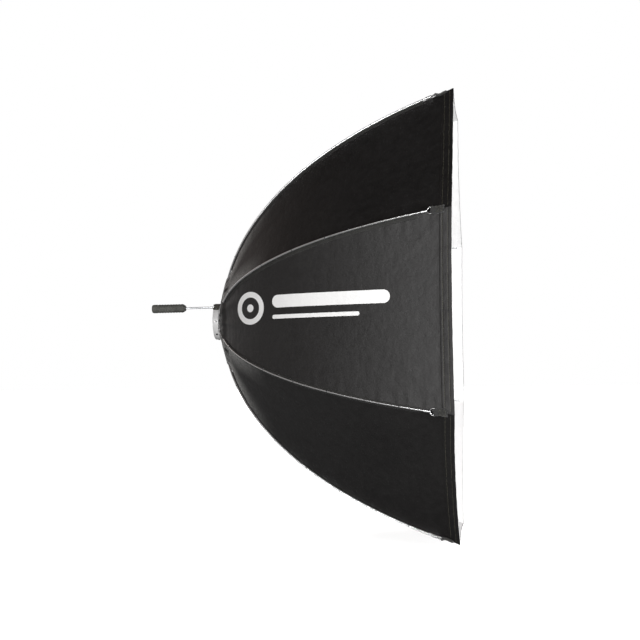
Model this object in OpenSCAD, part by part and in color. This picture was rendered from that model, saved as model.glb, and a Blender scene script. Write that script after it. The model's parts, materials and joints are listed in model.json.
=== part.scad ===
// Umbrella reflector: deep eight-rib reflector with the ribs on the outside of the
// canopy, a round hub dish, a sliding runner that opens and folds the ribs, a thin
// centre shaft inside and a tilting hand grip behind the hub.
// Frame: origin on the reflector axis, frame_x in front of the plane of the rib pivots,
// +X out of the opening, -X towards the grip, +Z up. Millimetres.

/* [Ribs] */
// Radius of the circle of rib pivots
pivot_r = 44; // [43:0.5:45]
// Length of each rib from its pivot to the tip, along the curve
rib_len = 1041; // [900:1:1060]
// Diameter of the spring-steel rib rods
rod_d = 6; // [5.2:0.1:6]
// Slope of the rib where it leaves the hub, from straight outwards
rib_root_deg = 10.75; // [10:0.25:12]

/* [Canopy] */
// Thickness of the canopy fabric shell
fabric_t = 1.2; // [0.8:0.1:1.6]
// How far the canopy reaches past the rib tips
lip_len = 55.6; // [45:0.1:60]
// How far the rim is drawn in half way between two ribs
rim_scallop = 8; // [2:1:14]

/* [Hub] */
// Outer radius of the hub dish
hub_r = 57.5; // [57:0.25:58]
// Front end of the runner tube
tube_front = 50; // [49:1:58]

/* [Shaft] */
// Diameter of the centre shaft
shaft_d = 8; // [7.8:0.1:8]
// Front end of the centre shaft
shaft_front = 640; // [300:10:680]

/* [Grip] */
// Diameter of the hand grip
grip_d = 28; // [24:0.5:32]
// Length of the hand grip
grip_len = 110; // [90:1:130]
// Droop of the handle behind the hub, in degrees
handle_droop = 0.5; // [0:0.5:6]

/* [Hidden] */
// Lengths along X are measured from the plane of the rib pivots; placed() moves each
// part into the frame.
frame_x = 60;
rib_count = 8;
rib_step = 360 / rib_count;
half_step = rib_step / 2;

// ribs
root_len = 36;            // straight part of each rib inside its socket
arcs = 7;                 // equal-length arcs that make up the bent part of a rib
arc_len = (rib_len - root_len) / arcs;
bend = [113.3, -77.06, 23.06];  // degrees of slope gained: linear, square, cubic terms
rod_r = rod_d / 2;
rod_fit = 0.15;           // radial clearance of the rod in sockets and ferrules
pin_r = 2;                // rib hinge pin
tail_len = 25;            // pivot to roller centre on the inner end of a socket
tail_deg = 21;            // tail slope towards the opening when the ribs are open

// hub, tube and shaft
dish_back = -24;
dish_floor = -18;
dish_front = -9;
cover_back = -28;
tube_r = 11;
tube_flange_r = 17;
shaft_r = shaft_d / 2;
cross_pin_x = tube_front - 3.5;

// runner
runner_x = tail_len * sin(tail_deg);  // centre of the runner groove when open
runner_r = 23.5;
runner_body_r = 15;
lock_x = runner_x + 23;

// screws; angles about the axis run from -Y up through +Z
screw_r = 1.5;
screw_hole_r = 1.6;
drive_r = 1.2;            // recess in a screw head
cover_screw_angles = [22.5, 157.5, 202.5, 337.5];
cover_screw_circle = 30;
rim_screw_angles = [0, 180, 225, 270, 315];
rim_screw_x = -16.5;
bracket_screw_angles = [45, 135];
bracket_screw_x = -19;

// handle
handle_pivot = [-29, 0, 48];
fork_w = 22;
fork_slot_w = 9.2;
bolt_r = 2.5;
handle_rod_r = 3;
grip_r = grip_d / 2;
grip_from = 98.8;         // pivot to the hub end of the grip, along the handle
grip_to = grip_from + grip_len;

// ---------------------------------------------------------------- placing and shapes
module placed() { translate([-frame_x, 0, 0]) children(); }

module at_angles(angles) { for (a = angles) rotate([-a, 0, 0]) children(); }

// rib frame: local X radial, local Y towards the opening, local Z along the hinge axis
function rib_angle(k) = half_step + rib_step * (k - 1);
module at_rib(k) { rotate([-rib_angle(k), 0, 0]) rotate([0, 0, -90]) children(); }
module at_pivot(k) { at_rib(k) translate([pivot_r, 0, 0]) children(); }

// solid of revolution about the reflector axis; the profile is drawn as [radius, x]
module about_axis(fn = 72) {
    rotate([0, 90, 0]) rotate([0, 0, 90]) rotate_extrude($fn = fn) children();
}
function shift_x(profile, dx) = [for (p = profile) p + [0, dx]];

module rod_x(r, x0, x1, fn = 32) {
    translate([x0, 0, 0]) rotate([0, 90, 0]) cylinder(r = r, h = x1 - x0, $fn = fn);
}
// cylinder along Y, centred
module rod_y(r, len, fn) { rotate([90, 0, 0]) cylinder(r = r, h = len, center = true, $fn = fn); }

// screw hole running inwards from `above` outside the dish wall
module radial_hole(x, above, depth) {
    translate([x, -hub_r - above, 0]) rotate([-90, 0, 0])
        cylinder(r = screw_hole_r, h = depth, $fn = 20);
}
// screw in the dish wall; head_from and shank_from are measured outwards from hub_r
module radial_screw(x, head_from, head_len, shank_from, shank_len) {
    translate([x, 0, 0]) rotate([90, 0, 0]) difference() {
        union() {
            translate([0, 0, hub_r + head_from]) cylinder(r = 2.9, h = head_len, $fn = 24);
            translate([0, 0, hub_r + shank_from]) cylinder(r = screw_r, h = shank_len, $fn = 20);
        }
        translate([0, 0, hub_r + head_from + 0.7]) cylinder(r = drive_r, h = 2, $fn = 20);
    }
}

// ---------------------------------------------------------------- rib curve
// Points are [radius, x]; s is the length along the rib from its pivot.
function heading(a) = [cos(a), sin(a)];
function normal(a) = [-sin(a), cos(a)];  // towards the inside of the reflector

// slope, arc radius and position at arc joint i
function joint_slope(i) = let (t = i / arcs) rib_root_deg + bend * [t, t * t, t * t * t];
function arc_radius(i) = arc_len / ((joint_slope(i + 1) - joint_slope(i)) * PI / 180);
function along_arc(i, to_slope) = arc_radius(i) * (normal(joint_slope(i)) - normal(to_slope));
function joint_point(i) = i == 0 ? [pivot_r, 0] + root_len * heading(rib_root_deg)
    : joint_point(i - 1) + along_arc(i - 1, joint_slope(i));

function arc_index(s) = floor((s - root_len) / arc_len);
function slope_at(s) = s <= root_len ? rib_root_deg
    : s >= rib_len ? joint_slope(arcs)
    : let (i = arc_index(s), part = (s - root_len) / arc_len - i)
      joint_slope(i) + part * (joint_slope(i + 1) - joint_slope(i));
function point_at(s) = s <= root_len ? [pivot_r, 0] + s * heading(rib_root_deg)
    : s >= rib_len ? joint_point(arcs) + (s - rib_len) * heading(joint_slope(arcs))
    : let (i = arc_index(s)) joint_point(i) + along_arc(i, slope_at(s));

// ---------------------------------------------------------------- ribs
module rib_socket(k) {
    placed() color([0.80, 0.81, 0.82]) at_pivot(k) difference() {
        union() {
            cylinder(r = 5, h = 8, center = true, $fn = 32);
            // sleeve for the rod, with a collar at its mouth
            rotate([0, 0, rib_root_deg]) {
                translate([0.5, -3.6, -3.7]) cube([9, 7.2, 7.4]);
                rod_x(5, 7.5, root_len - 2);
                rod_x(5.5, root_len - 5, root_len);
            }
            // tail and roller
            rotate([0, 0, 180 - tail_deg]) {
                translate([1, -2, -2.7]) cube([tail_len - 1, 4, 5.4]);
                translate([tail_len, 0, 0]) cylinder(r = 2.5, h = 6, center = true, $fn = 24);
            }
        }
        cylinder(r = pin_r + 0.1, h = 12, center = true, $fn = 32);
        rotate([0, 0, rib_root_deg]) rod_x(rod_r + rod_fit, 12, root_len + 1);
    }
}

module rib_rod(k) {
    end_gap = 0.4;        // left free at each end of an arc, under the bands
    tip_cut = 22;         // how much shorter the last arc is
    placed() color([0.86, 0.87, 0.88]) at_rib(k) {
        translate([pivot_r, 0, 0]) rotate([0, 0, rib_root_deg])
            rod_x(rod_r, 12.2, root_len - end_gap, 16);
        for (i = [0 : arcs - 1]) {
            start = joint_slope(i);
            share = i == arcs - 1 ? (arc_len - tip_cut) / arc_len : 1;
            sweep = (joint_slope(i + 1) - start) * share;
            radius = arc_radius(i);
            joint = joint_point(i);
            gap_deg = end_gap / radius * 180 / PI;
            translate(concat(joint + radius * normal(start), 0)) rotate([0, 0, start - 90 + gap_deg])
                rotate_extrude(angle = sweep - 2 * gap_deg, $fn = 120)
                    translate([radius, 0]) circle(r = rod_r, $fn = 16);
            // short band that joins neighbouring arcs
            translate(concat(joint, 0)) rotate([0, 0, start]) rod_x(rod_r + 0.08, -1.6, 1.6, 16);
        }
    }
}

// ferrule on the end of the rod, with a wire D-ring
module rib_tip(k) {
    ferrule_s = rib_len - 26;
    ring_x = 20;
    ring_r = 10.5;
    leg_len = 3;
    wire_r = 1.5;
    placed() color([0.78, 0.79, 0.80]) at_rib(k)
        translate(concat(point_at(ferrule_s), 0)) rotate([0, 0, slope_at(ferrule_s)]) {
            difference() {
                rod_x(4.2, -8, 10.5, 24);
                rod_x(rod_r + rod_fit, -9, 6, 24);
            }
            translate([ring_x, 0, 0]) rotate([90, 0, 0]) rotate([0, 0, 90])
                rotate_extrude(angle = 180, $fn = 40)
                    translate([ring_r, 0]) circle(r = wire_r, $fn = 14);
            for (side = [-1, 1]) translate([ring_x, 0, side * ring_r]) rotate([0, 90, 0])
                cylinder(r = wire_r, h = leg_len, $fn = 14);
            translate([ring_x + leg_len, 0, 0])
                cylinder(r = wire_r, h = 2 * (ring_r + wire_r), center = true, $fn = 14);
        }
}

// ---------------------------------------------------------------- canopy
// Each panel is centred on its rib and reaches half way to the next rib on both sides.
// Rows follow the rib: one near the root, two for each arc, then the lip past the tip.
first_row_s = 17;
canopy_inset = 6;              // shell inside the rib centre line
lip_share = [0.25, 0.62, 1];   // lip rows, as shares of lip_len
lip_inset = [6, 3.4, 0.4];     // shell inside the rib line at the lip rows
tip_row = 2 * arcs + 1;
rows = tip_row + 1 + len(lip_share);
across = [-1, -0.5, 0, 0.5, 1];  // stations across the panel, 0 on the rib
cols = len(across);
seam_gap = 0.2;                // left free along each side edge

function row_s(j) = j == 0 ? first_row_s
    : j <= tip_row ? root_len + (j - 1) * arc_len / 2
    : rib_len + lip_share[j - tip_row - 1] * lip_len;
function row_inset(j) = j <= tip_row ? canopy_inset : lip_inset[j - tip_row - 1];
function draw_in(j, u) = j < tip_row ? 0
    : rim_scallop * (j - tip_row + 1) / (rows - tip_row) * (2 * abs(u) - u * u);
function shell_point(j, u, depth) =
    let (s = row_s(j),
         a = slope_at(s),
         p = point_at(s) + (row_inset(j) + depth) * normal(a) - draw_in(j, u) * heading(a),
         z = u * (p[0] * sin(half_step) * cos(half_step) - seam_gap))
    [p[0] - abs(z) * tan(half_step), p[1], z];
function shell_points() = [
    for (depth = [0, fabric_t]) for (j = [0 : rows - 1]) for (u = across) shell_point(j, u, depth)];

// index of a shell point; layer 0 is the rib side, layer 1 the inside
function vertex(layer, j, i) = (layer * rows + j) * cols + i;
function quad(a, b, c, d) = [[a, b, c], [a, c, d]];
// faces across the thickness (from layer m to n) or along one layer (m = n)
function layer_quad(layer, j, i, j_next, i_next) = quad(vertex(layer, j, i),
    vertex(layer, j_next, i), vertex(layer, j + 1, i + 1), vertex(layer, j, i_next));
function shell_faces() = let (jl = rows - 1, il = cols - 1) concat(
    // rib side and inside
    [for (j = [0 : jl - 1]) for (i = [0 : il - 1]) for (f = quad(
        vertex(0, j, i), vertex(0, j + 1, i), vertex(0, j + 1, i + 1), vertex(0, j, i + 1))) f],
    [for (j = [0 : jl - 1]) for (i = [0 : il - 1]) for (f = quad(
        vertex(1, j, i), vertex(1, j, i + 1), vertex(1, j + 1, i + 1), vertex(1, j + 1, i))) f],
    // two side edges
    [for (j = [0 : jl - 1]) for (f = quad(
        vertex(0, j, 0), vertex(1, j, 0), vertex(1, j + 1, 0), vertex(0, j + 1, 0))) f],
    [for (j = [0 : jl - 1]) for (f = quad(
        vertex(0, j, il), vertex(0, j + 1, il), vertex(1, j + 1, il), vertex(1, j, il))) f],
    // hub edge and rim
    [for (i = [0 : il - 1]) for (f = quad(
        vertex(0, 0, i), vertex(0, 0, i + 1), vertex(1, 0, i + 1), vertex(1, 0, i))) f],
    [for (i = [0 : il - 1]) for (f = quad(
        vertex(0, jl, i), vertex(1, jl, i), vertex(1, jl, i + 1), vertex(0, jl, i + 1))) f]);

module canopy_panel(k) {
    placed() color([0.10, 0.10, 0.11]) at_rib(k)
        polyhedron(points = shell_points(), faces = shell_faces(), convexity = 6);
}

// ---------------------------------------------------------------- hub
module handle_notch() { translate([cover_back - 1, -16, 39.5]) cube([9.2, 32, 30]); }
module at_cover_screws() {
    at_angles(cover_screw_angles) translate([0, -cover_screw_circle, 0]) children();
}

module hub_dish() placed() {
    wall = 5;
    ear_r = 5.5;
    ear_t = 3.2;
    color([0.90, 0.90, 0.91]) difference() {
        union() {
            about_axis(96) polygon([[0, dish_back], [hub_r - 1, dish_back],
                [hub_r, dish_back + 1], [hub_r, dish_front - 1], [hub_r - 1, dish_front],
                [hub_r - wall + 0.5, dish_front], [hub_r - wall, dish_front - 0.5],
                [hub_r - wall, dish_floor], [0, dish_floor]]);
            // pairs of ears for the rib pivots
            for (k = [1 : rib_count]) at_pivot(k) for (side = [-1, 1])
                translate([0, 0, side * 5.9]) {
                    cylinder(r = ear_r, h = ear_t, center = true, $fn = 32);
                    translate([-ear_r, dish_floor - 0.5, -ear_t / 2])
                        cube([2 * ear_r, -dish_floor + 0.5, ear_t]);
                }
        }
        for (k = [1 : rib_count]) at_pivot(k)
            cylinder(r = pin_r + 0.05, h = 18, center = true, $fn = 32);
        // bore and recess for the runner tube
        rod_x(tube_r + 0.05, dish_back - 1, 0, 48);
        rod_x(tube_flange_r + 0.1, dish_back - 1, dish_back + 3, 48);
        at_angles(rim_screw_angles) radial_hole(rim_screw_x, 1, 8);
        at_angles(bracket_screw_angles) radial_hole(bracket_screw_x, 1, 8);
        at_cover_screws() rod_x(screw_hole_r, dish_back - 1, dish_back + 8, 20);
        handle_notch();
    }
}

module hub_back_cover() placed() {
    cover_front = dish_back - 0.1;
    color([0.88, 0.88, 0.90]) difference() {
        about_axis(96) polygon([[0, cover_back], [16, cover_back], [18, cover_back + 0.8],
            [40, cover_back + 0.8], [42, cover_back], [hub_r - 1.5, cover_back],
            [hub_r, cover_back + 1.5], [hub_r, cover_front], [0, cover_front]]);
        at_cover_screws() {
            rod_x(screw_hole_r, cover_back - 1, cover_back + 8, 20);
            rod_x(3.3, cover_back - 1, cover_back + 2.4, 24);
        }
        handle_notch();
    }
}

module cover_screws() placed() {
    color([0.30, 0.30, 0.31]) at_cover_screws() difference() {
        union() {
            rod_x(3.1, cover_back + 0.6, cover_back + 2.3, 24);
            rod_x(screw_r, cover_back + 2, dish_floor - 0.5, 20);
        }
        rod_x(drive_r, cover_back, cover_back + 1.6, 20);
    }
}

module rim_screws() placed() {
    color([0.25, 0.25, 0.26]) at_angles(rim_screw_angles) radial_screw(rim_screw_x,
        head_from = 0.1, head_len = 1.5, shank_from = -4.6, shank_len = 5);
}

module rib_hinge_pins() placed() {
    color([0.55, 0.56, 0.58]) for (k = [1 : rib_count]) at_pivot(k) {
        cylinder(r = pin_r, h = 15.6, center = true, $fn = 32);
        translate([0, 0, 7.6]) cylinder(r = 3, h = 1.1, $fn = 24);
    }
}

// ---------------------------------------------------------------- tube and shaft
module cross_pin(r, len) { translate([cross_pin_x, 0, 0]) rod_y(r, len, 20); }

// tube with a flange at the back and a groove for the stop ring near the front
module runner_tube() placed() {
    flange_front = dish_back + 2.9;
    groove_r = 9.9;
    color([0.72, 0.73, 0.75]) difference() {
        about_axis(64) polygon([[0, dish_back + 0.1], [tube_flange_r, dish_back + 0.1],
            [tube_flange_r, flange_front], [tube_r, flange_front],
            [tube_r, tube_front - 8.7], [groove_r, tube_front - 8.7],
            [groove_r, tube_front - 6.3], [tube_r, tube_front - 6.3],
            [tube_r, tube_front - 1], [tube_r - 1, tube_front], [0, tube_front]]);
        rod_x(shaft_r + 0.05, dish_back - 1, tube_front + 1);
        cross_pin(1.05, 30);
    }
}

module stop_ring() placed() {
    color([0.45, 0.46, 0.48]) about_axis(48) polygon(shift_x(
        [[10.05, -8.5], [13.6, -8.5], [13.6, -6.5], [10.05, -6.5]], tube_front));
}

module centre_shaft() placed() {
    neck_r = shaft_r - 0.5;   // shallow groove just in front of the tube
    color([0.84, 0.85, 0.86]) difference() {
        about_axis(64) polygon([[0, dish_back + 0.4], [shaft_r, dish_back + 0.4],
            [shaft_r, tube_front + 1.5], [neck_r, tube_front + 1.5],
            [neck_r, tube_front + 4.5], [shaft_r, tube_front + 4.5],
            [shaft_r, shaft_front], [0, shaft_front]]);
        rod_x(2.05, shaft_front - 12, shaft_front + 1, 24);
        cross_pin(1.05, 30);
    }
}

module shaft_pin() placed() { color([0.5, 0.5, 0.52]) cross_pin(1, 2 * tube_r - 1); }

// plug with a stem in the shaft bore and a domed end
module shaft_end_plug() placed() {
    color([0.12, 0.12, 0.12]) about_axis(32) polygon(shift_x(concat(
        [[0, -10], [2, -10], [2, 0.1]],
        [for (a = [0 : 15 : 90]) [(shaft_r - 0.1) * cos(a), 0.1 + 4 * sin(a)]]), shaft_front));
}

// ---------------------------------------------------------------- runner
// outer corners of a chamfered flange; x is measured from the groove centre
function flange(x0, x1) = let (r = runner_r, c = 0.6)
    [[r - c, x0], [r, x0 + c], [r, x1 - c], [r - c, x1]];

module runner_collar() placed() {
    bore_r = tube_r + 0.1;
    body_r = runner_body_r;
    groove = 4.2;             // half width of the roller groove
    edge = 7.2;               // groove centre to the far side of a flange
    front = 30.5;
    color([0.20, 0.20, 0.21]) difference() {
        about_axis(64) polygon(shift_x(concat(
            [[bore_r, -edge]], flange(-edge, -groove),
            [[body_r, -groove], [body_r, groove]], flange(groove, edge),
            [[body_r, edge], [body_r, front - 1], [body_r - 1, front], [bore_r, front]]),
            runner_x));
        translate([lock_x, 0, 0]) cylinder(r = 2.6, h = 20, $fn = 24);
    }
}

// sleeve on the collar with two grooves round it
module runner_grip() placed() {
    bore_r = runner_body_r + 0.05;
    color([0.10, 0.10, 0.10]) about_axis(64) polygon(shift_x(concat(
        [[bore_r, 7.6], [17.4, 7.6], [18, 8.2]],
        [for (x = [10.2, 13.6]) for (p = [[18, -0.6], [17.2, 0], [17.2, 0.8], [18, 1.4]])
            p + [0, x]],
        [[18, 16.2], [17.4, 16.8], [bore_r, 16.8]]), runner_x));
}

// screw on top of the collar with a scalloped knob
module lock_screw() placed() {
    knob_r = 8;
    color([0.15, 0.15, 0.16]) translate([lock_x, 0, 0]) difference() {
        union() {
            translate([0, 0, tube_r + 0.2]) cylinder(r = 2.5, h = 8, $fn = 24);
            translate([0, 0, 17]) cylinder(r = 4, h = 3.5, $fn = 32);
            translate([0, 0, 19.5]) cylinder(r = knob_r, h = 8.5, $fn = 48);
            translate([0, 0, 28]) rotate_extrude($fn = 48)
                polygon([[0, 0], [knob_r, 0], [knob_r - 1, 1], [0, 1]]);
        }
        for (a = [0 : 60 : 300]) rotate([0, 0, a]) translate([9.4, 0, 19])
            cylinder(r = 2.6, h = 12, $fn = 20);
    }
}

// ---------------------------------------------------------------- handle
module handle_bracket() placed() {
    saddle_deg = 98;
    color([0.30, 0.30, 0.29]) difference() {
        union() {
            // saddle over the top of the dish
            rotate([0, -90, 0]) translate([0, 0, 10]) rotate([0, 0, -saddle_deg / 2])
                rotate_extrude(angle = saddle_deg, $fn = 96)
                    translate([hub_r + 0.15, 0]) square([2.1, 18]);
            // block in the notch of the dish, with the fork for the handle
            translate([cover_back, -fork_w / 2, 40]) cube([7.8, fork_w, 17.7]);
            translate(handle_pivot) rod_y(6, fork_w, 40);
            translate(handle_pivot + [-4, -fork_w / 2, 0])
                cube([6, fork_w, hub_r + 0.5 - handle_pivot[2]]);
        }
        translate([handle_pivot[0] - 12, -fork_slot_w / 2, 36]) cube([17.6, fork_slot_w, 40]);
        translate(handle_pivot) rod_y(bolt_r + 0.05, 40, 32);
        at_angles(bracket_screw_angles) radial_hole(bracket_screw_x, 4, 12);
    }
}

module bracket_screws() placed() {
    color([0.62, 0.62, 0.64]) at_angles(bracket_screw_angles) radial_screw(bracket_screw_x,
        head_from = 2.3, head_len = 1.6, shank_from = -4.2, shank_len = 7.5);
}

// bolt along Y with its head on the -Y side
module pivot_bolt() placed() {
    color([0.62, 0.62, 0.64]) translate(handle_pivot) rotate([-90, 0, 0]) difference() {
        union() {
            translate([0, 0, -14.1]) cylinder(r = 4.2, h = 2.9, $fn = 32);
            translate([0, 0, -11.4]) cylinder(r = bolt_r, h = 26.2, $fn = 32);
        }
        translate([0, 0, -15]) cylinder(r = 2, h = 2.4, $fn = 24);
    }
}

module pivot_nut() placed() {
    color([0.58, 0.58, 0.60]) translate(handle_pivot) rotate([-90, 0, 0]) difference() {
        union() {
            translate([0, 0, 11.2]) cylinder(r = 4.4, h = 2.4, $fn = 6);
            translate([0, 0, 13.5]) cylinder(r = 3.5, h = 0.9, $fn = 32);
        }
        translate([0, 0, 10]) cylinder(r = bolt_r + 0.05, h = 6, $fn = 32);
    }
}

// the handle is drawn along local X from the pivot, away from the hub
module along_handle() {
    translate(handle_pivot) rotate([0, 180 - handle_droop, 0]) children();
}

module handle_eye() placed() {
    color([0.30, 0.30, 0.29]) along_handle() difference() {
        union() {
            rod_y(5.2, 8.6, 40);
            rod_x(4.3, 0, 8.5);
        }
        rod_y(bolt_r + 0.1, 12, 32);
        rod_x(handle_rod_r + 0.05, 4, 10);
    }
}

module handle_rod() placed() {
    color([0.82, 0.83, 0.84]) along_handle() rod_x(handle_rod_r, 5, grip_to - 4);
}

module handle_grip() placed() {
    bore_r = handle_rod_r + 0.1;
    grooves = 9;
    pitch = (grip_len - 26) / grooves;
    // one groove as [change of radius, distance from the start of its pitch]
    groove = [[0, 1.5], [-0.7, 2.2], [-0.7, pitch - 3], [0, pitch - 2.3]];
    color([0.33, 0.33, 0.31]) along_handle() about_axis(56) polygon(concat(
        [[bore_r, grip_from], [grip_r - 6, grip_from],
         [grip_r - 1.2, grip_from + 7], [grip_r, grip_from + 11]],
        [for (i = [0 : grooves - 1]) for (p = groove) p + [grip_r, grip_from + 13 + i * pitch]],
        [[grip_r, grip_to - 10], [grip_r, grip_to - 3], [grip_r - 1, grip_to],
         [bore_r, grip_to]]));
}

module grip_end_cap() placed() {
    color([0.16, 0.16, 0.16]) along_handle() about_axis(48) polygon(shift_x([[0, 0.1],
        [grip_r - 1.2, 0.1], [grip_r - 1.6, 1.6], [grip_r - 4, 2.6], [0, 2.6]], grip_to));
}

// ---------------------------------------------------------------- one module per rib piece
module rib_1_socket() { rib_socket(1); }
module rib_1_rod() { rib_rod(1); }
module rib_1_tip() { rib_tip(1); }
module canopy_panel_1() { canopy_panel(1); }
module rib_2_socket() { rib_socket(2); }
module rib_2_rod() { rib_rod(2); }
module rib_2_tip() { rib_tip(2); }
module canopy_panel_2() { canopy_panel(2); }
module rib_3_socket() { rib_socket(3); }
module rib_3_rod() { rib_rod(3); }
module rib_3_tip() { rib_tip(3); }
module canopy_panel_3() { canopy_panel(3); }
module rib_4_socket() { rib_socket(4); }
module rib_4_rod() { rib_rod(4); }
module rib_4_tip() { rib_tip(4); }
module canopy_panel_4() { canopy_panel(4); }
module rib_5_socket() { rib_socket(5); }
module rib_5_rod() { rib_rod(5); }
module rib_5_tip() { rib_tip(5); }
module canopy_panel_5() { canopy_panel(5); }
module rib_6_socket() { rib_socket(6); }
module rib_6_rod() { rib_rod(6); }
module rib_6_tip() { rib_tip(6); }
module canopy_panel_6() { canopy_panel(6); }
module rib_7_socket() { rib_socket(7); }
module rib_7_rod() { rib_rod(7); }
module rib_7_tip() { rib_tip(7); }
module canopy_panel_7() { canopy_panel(7); }
module rib_8_socket() { rib_socket(8); }
module rib_8_rod() { rib_rod(8); }
module rib_8_tip() { rib_tip(8); }
module canopy_panel_8() { canopy_panel(8); }

// Which sub-part is drawn

hub_dish();
hub_back_cover();
cover_screws();
rim_screws();
rib_hinge_pins();
runner_tube();
stop_ring();
centre_shaft();
shaft_pin();
shaft_end_plug();
runner_collar();
runner_grip();
lock_screw();
handle_bracket();
bracket_screws();
pivot_bolt();
pivot_nut();
handle_eye();
handle_rod();
handle_grip();
grip_end_cap();
rib_1_socket();
rib_1_rod();
rib_1_tip();
canopy_panel_1();
rib_2_socket();
rib_2_rod();
rib_2_tip();
canopy_panel_2();
rib_3_socket();
rib_3_rod();
rib_3_tip();
canopy_panel_3();
rib_4_socket();
rib_4_rod();
rib_4_tip();
canopy_panel_4();
rib_5_socket();
rib_5_rod();
rib_5_tip();
canopy_panel_5();
rib_6_socket();
rib_6_rod();
rib_6_tip();
canopy_panel_6();
rib_7_socket();
rib_7_rod();
rib_7_tip();
canopy_panel_7();
rib_8_socket();
rib_8_rod();
rib_8_tip();
canopy_panel_8();
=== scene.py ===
"""A large eight-ribbed umbrella with a black canopy, lined in silver.

The shaft lies along X. The hub is at the -X end and the canopy opens towards +X.
Rib 1 to rib 8 stand around the shaft, counted from -Y towards +Z; gore g lies between rib g
and rib g + 1, so that gore 0 (also counted as 8) faces -Y, towards the camera.
Shapes are worked out in millimetres and turned into metres as meshes are made. Shader values,
the floor and the lights are in metres.
"""
import json
import math

import bpy
import numpy as np
from mathutils import Matrix, Vector

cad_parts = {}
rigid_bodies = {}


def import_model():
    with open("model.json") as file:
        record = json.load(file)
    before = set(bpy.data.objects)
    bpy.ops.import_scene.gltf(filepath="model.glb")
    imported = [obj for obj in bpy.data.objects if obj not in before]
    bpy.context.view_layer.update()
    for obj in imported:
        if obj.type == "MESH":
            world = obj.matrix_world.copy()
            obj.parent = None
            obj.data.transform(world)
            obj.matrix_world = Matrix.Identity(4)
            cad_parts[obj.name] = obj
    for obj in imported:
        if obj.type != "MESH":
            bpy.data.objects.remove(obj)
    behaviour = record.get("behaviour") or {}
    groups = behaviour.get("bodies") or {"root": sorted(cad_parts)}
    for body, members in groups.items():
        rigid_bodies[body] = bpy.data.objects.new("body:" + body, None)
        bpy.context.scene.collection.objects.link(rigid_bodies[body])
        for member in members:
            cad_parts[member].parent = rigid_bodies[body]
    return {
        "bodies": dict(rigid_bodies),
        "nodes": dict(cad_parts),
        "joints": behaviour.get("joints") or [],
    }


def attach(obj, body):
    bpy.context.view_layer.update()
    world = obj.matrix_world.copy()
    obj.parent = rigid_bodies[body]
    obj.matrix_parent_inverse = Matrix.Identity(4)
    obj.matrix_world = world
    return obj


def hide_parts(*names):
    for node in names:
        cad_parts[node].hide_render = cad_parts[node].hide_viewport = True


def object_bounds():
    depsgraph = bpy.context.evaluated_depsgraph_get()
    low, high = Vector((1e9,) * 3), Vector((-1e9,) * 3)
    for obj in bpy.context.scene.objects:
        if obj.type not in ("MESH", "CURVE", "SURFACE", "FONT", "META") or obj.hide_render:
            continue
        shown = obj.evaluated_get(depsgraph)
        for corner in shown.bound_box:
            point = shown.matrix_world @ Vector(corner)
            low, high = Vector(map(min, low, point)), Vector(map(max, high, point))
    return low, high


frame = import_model()
CAD_BOX = [list(v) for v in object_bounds()]
BODY = frame["bodies"]
NODE = frame["nodes"]
JOINT = {joint["name"]: joint for joint in frame["joints"]}
MM = 0.001

# ------------------------------------------------------------------ rib curve
RIBS = 8
HALF = math.radians(22.5)                   # half the angle between two ribs
COS_HALF, SIN_HALF = math.cos(HALF), math.sin(HALF)
HINGE = JOINT["rib_1_fold"]["pos_m"]
HINGE_R = math.hypot(*HINGE[1:]) / MM       # from the axis to a rib's hinge
HINGE_X = -HINGE[0] / MM                    # from the plane of the hinges to the origin
ROOT = 36.0                                 # length at which a rib starts to bend
RIB_LEN = 1041.0
ARCS = 7                                    # arcs from the root to the tip
LIP = 55.6                                  # canopy beyond the rib tips
TOTAL = RIB_LEN + LIP

# slope from the radial direction at the ends of the arcs, then integrated along the length
_part = np.arange(ARCS + 1) / ARCS
_arc_slope = np.radians(10.75 + 113.3 * _part - 77.06 * _part * _part + 23.06 * _part ** 3)
_s = np.linspace(0.0, TOTAL + 20, 6000)
_arc = np.clip((_s - ROOT) / (RIB_LEN - ROOT) * ARCS, 0, ARCS)
_slope = np.interp(_arc, np.arange(ARCS + 1), _arc_slope)
_mid = 0.5 * (_slope[1:] + _slope[:-1])
_step = _s[1] - _s[0]
_r = HINGE_R + np.concatenate([[0], np.cumsum(np.cos(_mid) * _step)])
_x = np.concatenate([[0], np.cumsum(np.sin(_mid) * _step)])


def slope(s):
    return np.interp(s, _s, _slope)


def rib_x(s):
    return np.interp(s, _s, _x) - HINGE_X


def rib_r(s):
    return np.interp(s, _s, _r)


def half_width(s):
    """half the width of a gore at length s"""
    return rib_r(s) * SIN_HALF


AXIS = np.array([1.0, 0.0, 0.0])


def rib_angle(k):
    """angle of rib k (1 to 8), from -Y towards +Z"""
    return HALF + 2 * HALF * (k - 1)


def radial(angle):
    return np.array([0.0, -math.cos(angle), math.sin(angle)])


def tangential(angle):
    return np.array([0.0, math.sin(angle), math.cos(angle)])


def rib_point(k, s):
    return rib_x(s) * AXIS + rib_r(s) * radial(rib_angle(k))


def rib_along(k, s):
    """direction of rib k at length s, from the hub to the tip"""
    a = slope(s)
    return np.multiply.outer(np.sin(a), AXIS) + np.multiply.outer(np.cos(a), radial(rib_angle(k)))


def rib_outward(k, s):
    """outward normal of rib k at length s"""
    a = slope(s)
    return np.multiply.outer(-np.cos(a), AXIS) + np.multiply.outer(np.sin(a), radial(rib_angle(k)))


def ease(value, start, end):
    t = np.clip((np.asarray(value, float) - start) / (end - start), 0, 1)
    return t * t * (3 - 2 * t)


# ------------------------------------------------------------------ canopy surface
HEM = 36.0              # width of the rim hem
STITCH = (12.0, 29.0)   # the two stitch lines, from the rim
CLOTH = 0.9             # thickness of the black cloth
LINING_GAP, LINING_CLOTH = 0.15, 0.5
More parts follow.
